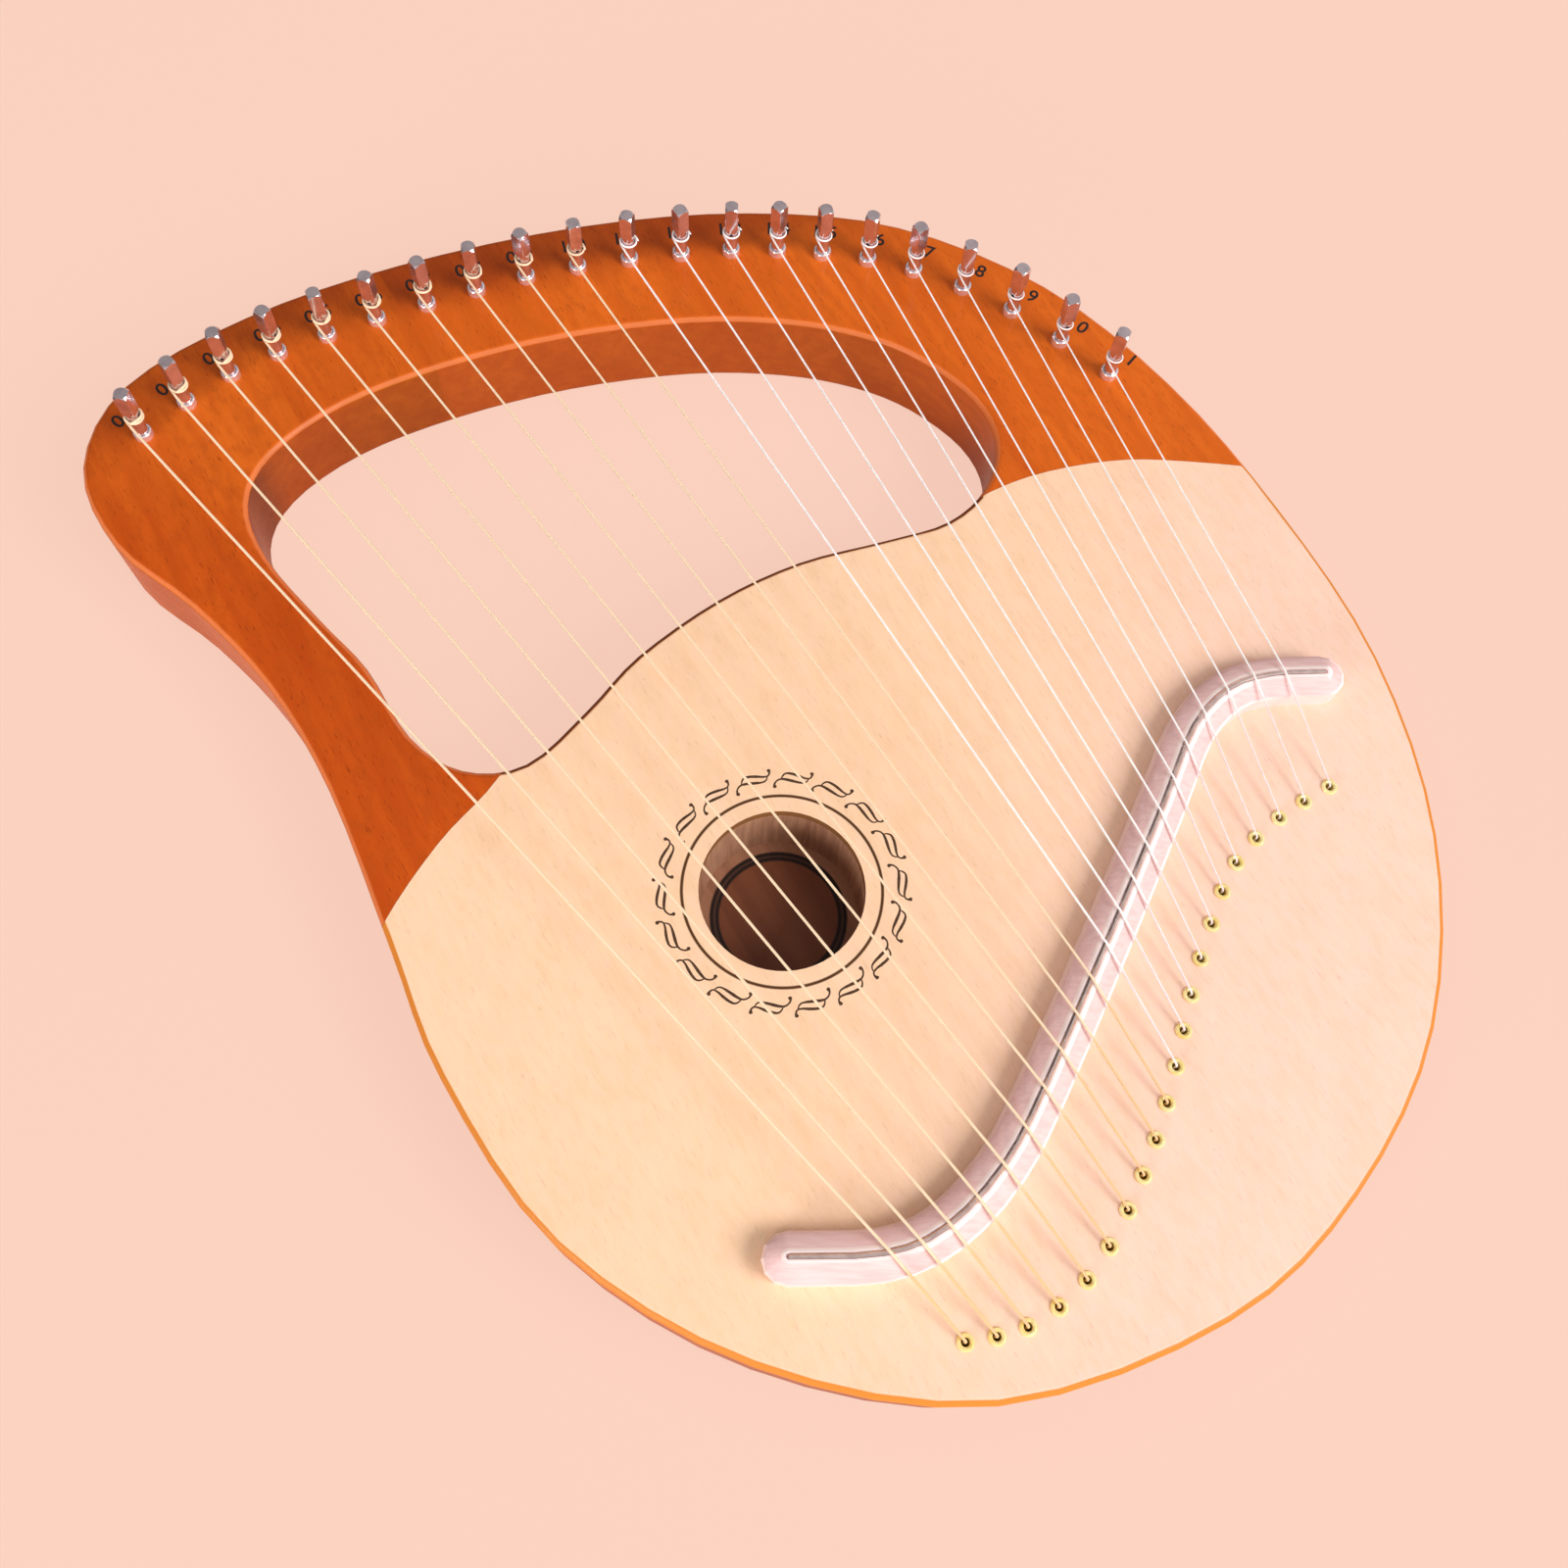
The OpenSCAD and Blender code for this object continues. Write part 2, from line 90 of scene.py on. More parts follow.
# Lengths are millimetres and angles are degrees.
NOISE_DETAIL = 3.0
NOISE_ROUGHNESS = 0.55
RING_CORE = 0.25
RING_FADE = 0.65
RELIEF_STRENGTH = 0.6
# Heights over the soundboard where the painted shade on the strings' tails fades out.
TAIL_SHADE_HEIGHTS = (9.0, 10.4)
WAVE_PERIOD = math.tau / 20
MERGE_WITHIN = 0.002
FLAT_WITHIN = 0.3
BEVEL_SEGMENTS = 3
BEVEL_FROM = 50
FACE_WEIGHT = 80

# Sockets of the colour mix node, which share their names with its other kinds.
MIX_INPUTS = (0, 6, 7)
MIX_RESULT = 2


class Axis(IntEnum):
    """Axes of the shared frame."""

    X = 0
    Y = 1
    Z = 2


class Slot(Enum):
    """Material slots of the record."""

    BASS_BOARD = "bass_board"
    TREBLE_BOARD = "treble_board"
    SOUNDBOARD = "soundboard"
    BACK_PLATE = "back_plate"
    WELL = "well"
    INNER_WOOD = "inner_wood"
    BRIDGE = "bridge"
    SADDLE_ROD = "saddle_rod"
    EYELET = "eyelet"
    BALL_END = "ball_end"
    FERRULE = "ferrule"
    TUNING_PIN = "tuning_pin"
    BASS_STRING = "bass_string"
    TREBLE_STRING = "treble_string"


class Pattern(Enum):
    """Shifts that set the noise patterns of one surface apart."""

    STREAK = 0.31
    BROAD = 0.77
    FIBRE = 0.13
    FLECK = 0.23
    PORE = 0.61
    MARK = 0.41
    CLOUD = 0.93
    CHAR = 0.57


def linear(colour: Colour) -> tuple[float, float, float, float]:
    """Turns an sRGB colour into the linear one that shaders take.

    Args:
        colour: Red, green and blue from 0 to 255.

    Returns:
        Linear red, green, blue and an alpha of 1.
    """
    shares = [c / 255 for c in colour]
    lin = [c / 12.92 if c <= 0.04045 else ((c + 0.055) / 1.055) ** 2.4 for c in shares]
    return (*lin, 1.0)


def hole_centre() -> Vector:
    """Centre of the sound hole in plan, in metres, from the block that it is bored through."""
    low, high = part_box("well_block")
    return Vector(((low.x + high.x) / 2, (low.y + high.y) / 2, 0))


def board_top() -> float:
    """Height of the soundboard's upper face, in metres."""
    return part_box("soundboard")[1].z


class Shader:
    """A material's node tree, with short calls for the nodes that the finishes share."""

    def __init__(self, name: str) -> None:
        """Starts a material with a plain Principled shader."""
        self.material = bpy.data.materials.new(name)
        self.material.use_nodes = True
        self.tree = self.material.node_tree
        self.surface = self.tree.nodes["Principled BSDF"]

    def add(self, kind: str, inputs: dict[Any, Any] | None = None, **settings: Any) -> Node:
        """Adds a node.

        Args:
            kind: Node type without its ShaderNode prefix.
            inputs: A socket to link or a value to set, by input name or number.
            settings: Properties of the node.

        Returns:
            The new node.
        """
        node = self.tree.nodes.new("ShaderNode" + kind)
        for key, value in settings.items():
            setattr(node, key, value)
        for key, value in (inputs or {}).items():
            self.feed(node.inputs[key], value)
        return node

    def feed(self, socket: NodeSocket, value: Any) -> None:
        """Links a socket to an input, or sets the input to a value."""
        if isinstance(value, NodeSocket):
            self.tree.links.new(value, socket)
        else:
            socket.default_value = value

    def grain(self, size: Pair, pattern: Pattern, turn: float = 0.0, tilt: float = 0.0) -> NodeSocket:
        """Noise drawn out along the wood's grain.

        Args:
            size: Width and length of a streak in millimetres.
            pattern: Which of the surface's patterns this is.
            turn: Degrees from +Y to the grain, in plan.
            tilt: Degrees from level to the grain.

        Returns:
            Values about 0.5.
        """
        across, along = (1 / (length * MM) for length in size)
        shift = pattern.value
        turned = self.add("Mapping", {
            "Vector": self.place(), "Rotation": (math.radians(tilt), 0, math.radians(turn)),
            "Location": (shift, shift / 2, shift / 3)})
        drawn = self.add("Mapping", {"Vector": turned.outputs[0], "Scale": (across, along, across)})
        noise = self.add("TexNoise", {
            "Vector": drawn.outputs[0], "Scale": 1.0, "Detail": NOISE_DETAIL, "Roughness": NOISE_ROUGHNESS})
        return noise.outputs[0]

    def spread(self, value: NodeSocket, low: float, high: float, to: Pair = (0, 1)) -> NodeSocket:
        """Spreads values between low and high over the range given, smoothly."""
        node = self.add("MapRange", {"Value": value, "From Min": low, "From Max": high,
                                     "To Min": to[0], "To Max": to[1]}, interpolation_type="SMOOTHSTEP")
        return node.outputs[0]

    def maths(self, operation: str, a: Any, b: Any = 0.0) -> NodeSocket:
        """Result of an operation on two values."""
        return self.add("Math", {0: a, 1: b}, operation=operation).outputs[0]

    def mix(self, share: Any, a: Any, b: Any, blend: str = "MIX") -> NodeSocket:
        """Colour between a and b, by a share from 0 to 1."""
        node = self.add("Mix", data_type="RGBA", blend_type=blend)
        for socket, value in zip(MIX_INPUTS, (share, a, b)):
            self.feed(node.inputs[socket], value)
        return node.outputs[MIX_RESULT]

    def place(self) -> NodeSocket:
        """Place on the piece in the shared frame, in metres."""
        return self.add("TexCoord").outputs["Object"]

    def along(self, vector: NodeSocket, heading: float) -> NodeSocket:
        """Part of a vector along a heading in plan, in degrees from +X."""
        turn = math.radians(heading)
        ahead = (math.cos(turn), math.sin(turn), 0)
        return self.add("VectorMath", {0: vector, 1: ahead}, operation="DOT_PRODUCT").outputs["Value"]

    def facing(self, axis: Axis) -> NodeSocket:
        """Part of the surface's direction along an axis, from -1 to 1."""
        normal = self.add("NewGeometry").outputs["Normal"]
        return self.add("SeparateXYZ", {0: normal}).outputs[axis]

    def facing_to(self, heading: float) -> NodeSocket:
        """Part of the surface's direction along a heading in plan, in degrees from +X."""
        return self.along(self.add("NewGeometry").outputs["Normal"], heading)

    def height(self) -> NodeSocket:
        """Height over the soundboard, in metres."""
        return self.maths("SUBTRACT", self.add("SeparateXYZ", {0: self.place()}).outputs[Axis.Z], board_top())

    def from_hole(self) -> NodeSocket:
        """Distance in plan from the centre of the sound hole, in metres."""
        flat = self.add("VectorMath", {0: self.place(), 1: (1, 1, 0)}, operation="MULTIPLY").outputs[0]
        offset = self.add("VectorMath", {0: flat, 1: hole_centre()}, operation="SUBTRACT").outputs[0]
        return self.add("VectorMath", {0: offset}, operation="LENGTH").outputs["Value"]

    def ring(self, radius: float, width: float) -> NodeSocket:
        """Share of a soft ring line around the sound hole.

        Args:
            radius: Radius of the line in millimetres.
            width: Width of the line in millimetres.

        Returns:
            1 on the line, 0 off it.
        """
        off = self.maths("ABSOLUTE", self.maths("SUBTRACT", self.from_hole(), radius * MM))
        return self.spread(off, width * MM * RING_CORE, width * MM * RING_FADE, (1, 0))

    def relief(self, height: NodeSocket, depth: float) -> None:
        """Gives the surface a relief of a depth in millimetres."""
        bump = self.add("Bump", {"Height": height, "Strength": RELIEF_STRENGTH, "Distance": depth * MM})
        self.feed(self.surface.inputs["Normal"], bump.outputs[0])


@dataclass(frozen=True)
class BurntRing:
    """A ring line burnt into wood around the sound hole."""

    radius: float
    width: float
    colour: Colour


@dataclass(frozen=True)
class ToneBand:
    """A broad change of tone painted on the wood, which deepens in one direction; most bands stand in for
    light and shade.
    """

    heading: float
    start: float
    end: float
    colour: Colour

    def share(self, shader: Shader) -> NodeSocket:
        """Share of the band at a place, from 0 before its start to 1 after its end."""
        return shader.spread(shader.along(shader.place(), self.heading), self.start * MM, self.end * MM)


@dataclass(frozen=True)
class PaintedLightStrip:
    """A strip of painted light or painted shade on one side of a piece, between two heights over the
    soundboard.

    The side is the one that faces the heading, in degrees from +X. turn_in says how far a surface
    faces it where the strip starts and where it is full.
    """

    low: float
    high: float
    heading: float
    colour: Colour
    turn_in: Pair = (0.02, 0.08)
    blend: str = "MIX"
    soft: float = 0.12

    def share(self, shader: Shader) -> NodeSocket:
        """Share of the strip at a place, 1 inside it and 0 outside."""
        height = shader.height()
        above = shader.spread(height, (self.low - self.soft) * MM, (self.low + self.soft) * MM)
        below = shader.spread(height, (self.high - self.soft) * MM, (self.high + self.soft) * MM, (1, 0))
        side = shader.spread(shader.facing_to(self.heading), *self.turn_in)
        return shader.maths("MULTIPLY", shader.maths("MULTIPLY", above, below), side)


@dataclass(frozen=True)
class Wood:
    """A wood finish, with its grain along the strings.

    A size is the width and the length of a streak, in millimetres. A contrast, facing or tilt pair
    says where a change starts and where it is full, in the noise or in the surface's direction.
    """

    name: str
    pale: Colour
    dark: Colour
    streak: Pair = (5.0, 110.0)
    streak_contrast: Pair = (0.32, 0.68)
    broad: Pair = (7, 2)
    broad_contrast: Pair = (0.3, 0.7)
    figure: float = 0.5
    fibre: float = 0.16
    fibre_size: Pair = (0.35, 9.0)
    fibre_contrast: Pair = (0.35, 0.65)
    fleck: Colour | None = None
    fleck_size: Pair = (3.5, 8.0)
    fleck_contrast: Pair = (0.42, 0.7)
    fleck_strength: float = 0.75
    pores: float = 0.0
    pore_tone: Colour = (170, 140, 130)
    pore_size: Pair = (0.45, 4.0)
    pore_contrast: Pair = (0.6, 0.72)
    turn: float = 0.0
    tilt: float = 0.0
    bands: tuple[ToneBand, ...] = ()
    end_grain: Colour | None = None
    end_facing: Pair = (0.25, 0.75)
    # Painted highlight: a lighter colour on the roundings between the top and the sides.
    rounding_highlight: Colour | None = None
    rounding_highlight_from_top: Pair = (0.97, 0.86)
    rounding_highlight_to_side: Pair = (0.2, 0.5)
    rounding_highlight_strength: float = 0.55
    # Tone of the steep sides: on the soundboard its stained edge, on the bridge painted light.
    edge: Colour | None = None
    edge_tilt: Pair = (0.94, 0.995)
    bore: Colour | None = None
    bore_reach: Pair = (30, 40)
    # Painted shade on the edges that face +Y, towards the hand hole.
    inner_edge_shade: Colour | None = None
    inner_shade_facing: Pair = (0.12, 0.45)
    # Painted highlights and painted shade between set heights.
    painted_light_strips: tuple[PaintedLightStrip, ...] = ()
    disc: tuple[float, Colour] | None = None
    disc_fade: float = 0.5
    rings: tuple[BurntRing, ...] = ()
    ring_facing: Pair = (0.5, 0.9)
    roughness: Pair = (0.36, 0.5)
    shine: float = 0.3
    coat: float = 0.0
    coat_roughness: float = 0.16
    relief: float = 0.03

    def make(self) -> Material:
        """Builds the wood's material."""
        shader = Shader(self.name)
        fibres = shader.spread(self.grain(shader, self.fibre_size, Pattern.FIBRE), *self.fibre_contrast)
        colour = self.grained(shader, fibres)
        colour = self.toned(shader, colour)
        colour = self.edged(shader, colour)
        colour = self.marked(shader, colour)
        inputs = shader.surface.inputs
        shader.feed(inputs["Base Color"], colour)
        shader.feed(inputs["Roughness"], shader.spread(fibres, 0, 1, self.roughness))
        inputs["Specular IOR Level"].default_value = self.shine
        inputs["Coat Weight"].default_value = self.coat
        inputs["Coat Roughness"].default_value = self.coat_roughness
        shader.relief(fibres, self.relief)
        return shader.material

    def grain(self, shader: Shader, size: Pair, pattern: Pattern) -> NodeSocket:
        """Noise along this wood's own grain."""
        return shader.grain(size, pattern, self.turn, self.tilt)

    def grained(self, shader: Shader, fibres: NodeSocket) -> NodeSocket:
        """Colour of the bare wood: streaks, fibres, flecks and pores.

        Args:
            shader: The material's nodes.
            fibres: Noise of the finest fibres.

        Returns:
            The colour.
        """
        dark, pale = linear(self.dark), linear(self.pale)
        wide = (self.streak[0] * self.broad[0], self.streak[1] * self.broad[1])
        streaks = shader.spread(self.grain(shader, self.streak, Pattern.STREAK), *self.streak_contrast)
        broad = shader.spread(self.grain(shader, wide, Pattern.BROAD), *self.broad_contrast)
        share = shader.maths("ADD", shader.maths("MULTIPLY", streaks, 1 - self.figure),
                             shader.maths("MULTIPLY", broad, self.figure))
        colour = shader.mix(share, dark, pale)
        colour = shader.mix(self.fibre, colour, shader.mix(fibres, dark, pale), "MULTIPLY")
        if self.fleck:
            noise = self.grain(shader, self.fleck_size, Pattern.FLECK)
            flecks = shader.spread(noise, *self.fleck_contrast, (0, self.fleck_strength))
            colour = shader.mix(flecks, colour, linear(self.fleck))
        if self.pores:
            noise = self.grain(shader, self.pore_size, Pattern.PORE)
            open_pores = shader.spread(noise, *self.pore_contrast, (0, self.pores))
            filled = shader.mix(1.0, colour, linear(self.pore_tone), "MULTIPLY")
            colour = shader.mix(open_pores, colour, filled)
        return colour

    def toned(self, shader: Shader, colour: NodeSocket) -> NodeSocket:
        """Colour after the broad bands, which are mostly painted shade and painted light, its darker end
        grain and the painted highlight on the roundings.
        """
        # Broad bands: painted shade beyond the yoke's pin row, and painted light on the soundboard.
        for band in self.bands:
            colour = shader.mix(band.share(shader), colour, linear(band.colour), "MULTIPLY")
        if self.end_grain:
            ends = shader.spread(shader.maths("ABSOLUTE", shader.facing(Axis.Y)), *self.end_facing)
            colour = shader.mix(ends, colour, linear(self.end_grain), "MULTIPLY")
        # Painted highlight along the roundings, strongest partway between top and side, where the light
        # catches them.
        if self.rounding_highlight:
            upward = shader.facing(Axis.Z)
            off_top = shader.spread(upward, *self.rounding_highlight_from_top)
            off_side = shader.spread(upward, *self.rounding_highlight_to_side, (0, self.rounding_highlight_strength))
            colour = shader.mix(shader.maths("MULTIPLY", off_top, off_side), colour, linear(self.rounding_highlight))
        return colour

    def edged(self, shader: Shader, colour: NodeSocket) -> NodeSocket:
        """Colour with the edges' tone, painted shade on the soundboard's edge towards the hand hole, and
        painted highlights and shade between set heights.
        """
        if self.edge:
            face = shader.spread(shader.facing(Axis.Z), *self.edge_tilt)
            side = linear(self.edge)
            if self.bore:
                near, far = self.bore_reach
                outside = shader.spread(shader.from_hole(), near * MM, far * MM)
                side = shader.mix(outside, linear(self.bore), side)
            # Painted shade: darkens the soundboard's edge where it faces +Y, towards the hand hole.
            if self.inner_edge_shade:
                toward_hand = shader.spread(shader.facing(Axis.Y), *self.inner_shade_facing)
                side = shader.mix(toward_hand, side, linear(self.inner_edge_shade))
            colour = shader.mix(face, side, colour)
        # Painted highlights on the bridge, painted shade on the bass board's walls.
        for strip in self.painted_light_strips:
            colour = shader.mix(strip.share(shader), colour, linear(strip.colour), strip.blend)
        return colour

    def marked(self, shader: Shader, colour: NodeSocket) -> NodeSocket:
        """Colour with the disc and the burnt rings around the sound hole's centre."""
        up = shader.spread(shader.facing(Axis.Z), *self.ring_facing)
        if self.disc:
            radius, tone = self.disc
            inside = shader.spread(shader.from_hole(), radius * MM, (radius + self.disc_fade) * MM, (1, 0))
            colour = shader.mix(shader.maths("MULTIPLY", inside, up), colour, linear(tone), "MULTIPLY")
        for ring in self.rings:
            burnt = shader.maths("MULTIPLY", shader.ring(ring.radius, ring.width), up)
            colour = shader.mix(burnt, colour, linear(ring.colour))
        return colour


def tail_shade_share(shader: Shader) -> NodeSocket:
    """Share of the painted shade on a string's tail, which runs down from the bridge to the eyelet."""
    low, high = TAIL_SHADE_HEIGHTS
    return shader.spread(shader.height(), low * MM, high * MM, (1, 0))


@dataclass(frozen=True)
class Metal:
    """A metal finish with fine drawing marks."""

    name: str
    bright: Colour
    dull: Colour
    roughness: Pair = (0.16, 0.3)
    mark: Pair = (0.3, 0.3)
    cloud: Pair = (4, 4)
    contrast: Pair = (0.3, 0.7)
    relief: float = 0.004
    metal: float = 1.0
    # Painted shade on the string past the bridge.
    tail: Colour | None = None

    def make(self) -> Material:
        """Builds the metal's material."""
        shader = Shader(self.name)
        marks = shader.spread(shader.grain(self.mark, Pattern.MARK), *self.contrast)
        cloud = shader.spread(shader.grain(self.cloud, Pattern.CLOUD), *self.contrast)
        colour = shader.mix(cloud, linear(self.dull), linear(self.bright))
        # Painted shade: the string darkens past the bridge, towards the eyelet.
        if self.tail:
            colour = shader.mix(tail_shade_share(shader), colour, linear(self.tail), "MULTIPLY")
        shader.feed(shader.surface.inputs["Base Color"], colour)
        shader.feed(shader.surface.inputs["Roughness"], shader.spread(marks, 0, 1, self.roughness))
        shader.surface.inputs["Metallic"].default_value = self.metal
        shader.relief(marks, self.relief)
        return shader.material


@dataclass(frozen=True)
class WoundString:
    """A string wound with fine wire, as lower strings are."""

    name: str
    bright: Colour
    dull: Colour
    # Painted shade on the string past the bridge.
    tail: Colour
    pitch: float = 0.28
    roughness: Pair = (0.7, 0.6)
    shine: float = 0.2
    relief: float = 0.001

    def make(self) -> Material:
        """Builds the winding's material."""
        shader = Shader(self.name)
        turns = {"Vector": shader.place(), "Scale": WAVE_PERIOD / (self.pitch * MM), "Distortion": 0.0}
        wave = shader.add("TexWave", turns, wave_type="BANDS", bands_direction="Y", wave_profile="SIN")
        wire = wave.outputs["Fac"]
        colour = shader.mix(wire, linear(self.dull), linear(self.bright))
        # Painted shade: the string darkens past the bridge, towards the eyelet.
        tail_shaded = shader.mix(tail_shade_share(shader), colour, linear(self.tail), "MULTIPLY")
        shader.feed(shader.surface.inputs["Base Color"], tail_shaded)
        shader.feed(shader.surface.inputs["Roughness"], shader.spread(wire, 0, 1, self.roughness))
        shader.surface.inputs["Specular IOR Level"].default_value = self.shine
        shader.relief(wire, self.relief)
        return shader.material


@dataclass(frozen=True)
class Burnt:
    """Dark burnt marks on wood."""

    name: str
    colour: Colour
    light: Colour
    cloud: Pair = (0.6, 1.2)
    contrast: Pair = (0.35, 0.7)
    roughness: Pair = (0.75, 0.6)
    relief: float = 0.02

    def make(self) -> Material:
        """Builds the material of the marks."""
        shader = Shader(self.name)
        cloud = shader.spread(shader.grain(self.cloud, Pattern.CHAR), *self.contrast)
        colour = shader.mix(cloud, linear(self.colour), linear(self.light))
        shader.feed(shader.surface.inputs["Base Color"], colour)
        shader.feed(shader.surface.inputs["Roughness"], shader.spread(cloud, 0, 1, self.roughness))
        shader.relief(cloud, self.relief)
        return shader.material


FINISHES = {
    Slot.BASS_BOARD: Wood(
        "stained_bass_board", (227, 117, 28), (204, 93, 17), streak=(5, 60), fibre=0.24, shine=0.1,
        # A painted highlight in a lighter orange runs along the rounded edges.
        coat=0.14, pores=0.6, fleck=(197, 89, 18), end_grain=(212, 208, 215), rounding_highlight=(238, 138, 84),
        # Painted shade: darker beyond the pin row, where the pins' shadows fall, and at the yoke's outer left
        # end.
        bands=(ToneBand(75.5, 184, 206, (235, 226, 238)), ToneBand(104, 234, 252, (226, 216, 224)),
               # Darker towards the lower left of the bass arm.
               ToneBand(-135, -45, 15, (240, 217, 198))),
        # Painted shade on the bass board's walls that face +X, and a yellower outer wall that offsets the
        # floor's pink reflection.
        painted_light_strips=(PaintedLightStrip(-40, -1.8, 0, (192, 188, 206), (0.35, 0.75), "MULTIPLY"),
                PaintedLightStrip(-40, -1.2, -150, (246, 255, 190), (0.3, 0.6), "MULTIPLY"))),
    Slot.TREBLE_BOARD: Wood(
        "stained_treble_board", (231, 119, 29), (210, 98, 20), streak=(5, 60), fibre=0.24, shine=0.1,
        # A painted highlight in a lighter orange runs along the rounded edges.
        coat=0.14, pores=0.6, fleck=(206, 94, 19), end_grain=(212, 208, 215), rounding_highlight=(238, 138, 84),
        # Painted shade: darker beyond the pin row, where the pins' shadows fall.
        bands=(ToneBand(75.5, 184, 206, (204, 186, 212)),)),
    # On the soundboard the band towards the upper left is painted light: a yellower tint set against the key
    # light's falloff.
    Slot.SOUNDBOARD: Wood(
        "pale_soundboard", (252, 217, 196), (247, 207, 181), streak=(2.2, 12), roughness=(0.45, 0.58),
        pores=0.22, fleck=(251, 209, 190), edge=(216, 128, 40), bore=(140, 92, 52),
        # Painted shade darkens the board's edge that faces the hand hole.
        inner_edge_shade=(120, 56, 20), bands=(ToneBand(133, -170, -20, (255, 255, 236)),),
        rings=(BurntRing(33, 1.15, (84, 48, 14)),)),
    Slot.BACK_PLATE: Wood(
        "stained_back_plate", (186, 136, 104), (150, 102, 76), roughness=(0.5, 0.65),
        disc=(22.3, (196, 163, 140)),
        rings=(BurntRing(22.25, 3.4, (82, 54, 42)), BurntRing(23.15, 1.4, (36, 19, 12)),
               BurntRing(21.3, 1.4, (36, 19, 12)))),
    Slot.WELL: Wood(
        "bare_well_wall", (208, 162, 130), (160, 114, 88), streak=(1.6, 30), tilt=90, fibre=0.3,
        roughness=(0.5, 0.7)),
    Slot.INNER_WOOD: Wood(
        "plain_inner_wood", (228, 190, 148), (204, 160, 116), roughness=(0.5, 0.7)),
    Slot.BRIDGE: Wood(
        "white_bridge_wood", (248, 214, 211), (237, 196, 191), streak=(1.2, 14), figure=0.3, fibre=0.2,
        # The bridge's walls and steep sides take a paler, even tone: painted light, as on the wall that faces
        # the lamp.
        roughness=(0.5, 0.6), turn=-57, edge=(243, 215, 209), edge_tilt=(0.3, 0.62),
        # Painted highlights: the crest, a pale band on each side of the rod and the lower edge of the
        # eyelet-side facet.
        painted_light_strips=(PaintedLightStrip(9.93, 10.2, 0, (250, 230, 226), (-2, -1)),
                PaintedLightStrip(9.5, 10.2, -30, (251, 242, 240), (0.1, 0.2)),
                PaintedLightStrip(7.3, 7.7, -30, (251, 240, 238), (0.1, 0.2)),
                PaintedLightStrip(9.7, 10.0, 110, (250, 224, 214)))),
    Slot.SADDLE_ROD: Metal("steel_rod", (242, 220, 212), (220, 196, 190), (0.12, 0.2)),
    Slot.EYELET: Metal("brass_eyelet", (255, 242, 178), (250, 222, 132), (0.14, 0.26), metal=0.35),
    Slot.BALL_END: Metal("brass_ball_end", (222, 180, 92), (190, 146, 66), (0.22, 0.4)),
    Slot.FERRULE: Metal(
        "nickel_ferrule", (252, 244, 248), (238, 228, 234), (0.12, 0.2), relief=0.002, metal=0.8),
    Slot.TUNING_PIN: Metal(
        "nickel_pin", (228, 212, 214), (206, 190, 194), (0.1, 0.16), relief=0.0005, metal=0.93),
    Slot.BASS_STRING: WoundString(
        # Strings are painted darker past the bridge: painted shade.
        "bronze_wound_string", (247, 222, 191), (240, 210, 172), tail=(240, 222, 196)),
    Slot.TREBLE_STRING: Metal(
        "steel_string", (255, 252, 250), (246, 240, 238), (0.55, 0.65), relief=0.0003, metal=0.1,
        # Strings are painted darker past the bridge: painted shade.
        tail=(242, 226, 226)),
}
BURNT_MARK = Burnt("burnt_mark", (58, 32, 8), (86, 52, 16))
BURNT_NUMBER = Burnt("burnt_number", (24, 10, 8), (40, 20, 12))


def only(piece: Object) -> None:
    """Selects one object alone and makes it the active one."""
    bpy.ops.object.select_all(action="DESELECT")
    piece.select_set(True)
    bpy.context.view_layer.objects.active = piece


def shape(piece: Object, kind: str, **settings: Any) -> None:
    """Adds a modifier to a piece and applies it.

    Args:
        piece: The piece to finish.
        kind: Modifier type.
        settings: Properties of the modifier.
    """
    only(piece)
    modifier = piece.modifiers.new(kind.title(), kind)
    for key, value in settings.items():
        setattr(modifier, key, value)
    bpy.ops.object.modifier_apply(modifier=modifier.name)


class Dresser:
    """Makes each finish once, and dresses pieces in them."""

    def __init__(self) -> None:
        """Builds every material."""
        self.materials = {slot: finish.make() for slot, finish in FINISHES.items()}
        self.mark = BURNT_MARK.make()
        self.number = BURNT_NUMBER.make()

    def put_on(self, piece: Object, material: Material) -> None:
        """Gives a piece its material."""
        piece.data.materials.clear()
        piece.data.materials.append(material)

    def copy(self, node: str, slot: Slot, bevel: float = 0.0, crease: float = 38.0) -> Object:
        """Makes the smooth piece that stands for a CAD node.

        Args:
            node: Name of the CAD node.
            slot: Material slot of the piece.
            bevel: Width of the rounding of its sharp edges, in millimetres.
            crease: Angle in degrees from which an edge stays sharp.

        Returns:
            The new piece, which rides on the node's body.
        """
        piece = merged_copy(node)
        if bevel:
            shape(piece, "BEVEL", width=bevel * MM, segments=BEVEL_SEGMENTS, limit_method="ANGLE",
                  angle_limit=math.radians(BEVEL_FROM), harden_normals=False)
        smooth(piece, crease)
        return self.stand_for(piece, node, slot)

    def stand_for(self, piece: Object, node: str, slot: Slot) -> Object:
        """Dresses a piece, lets it ride on the node's body and hides the node."""
        self.put_on(piece, self.materials[slot])
        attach(piece, body_of(frame["nodes"][node])[0])
        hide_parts(node)
        log.info("%s stands for %s", piece.name, node)
        return piece


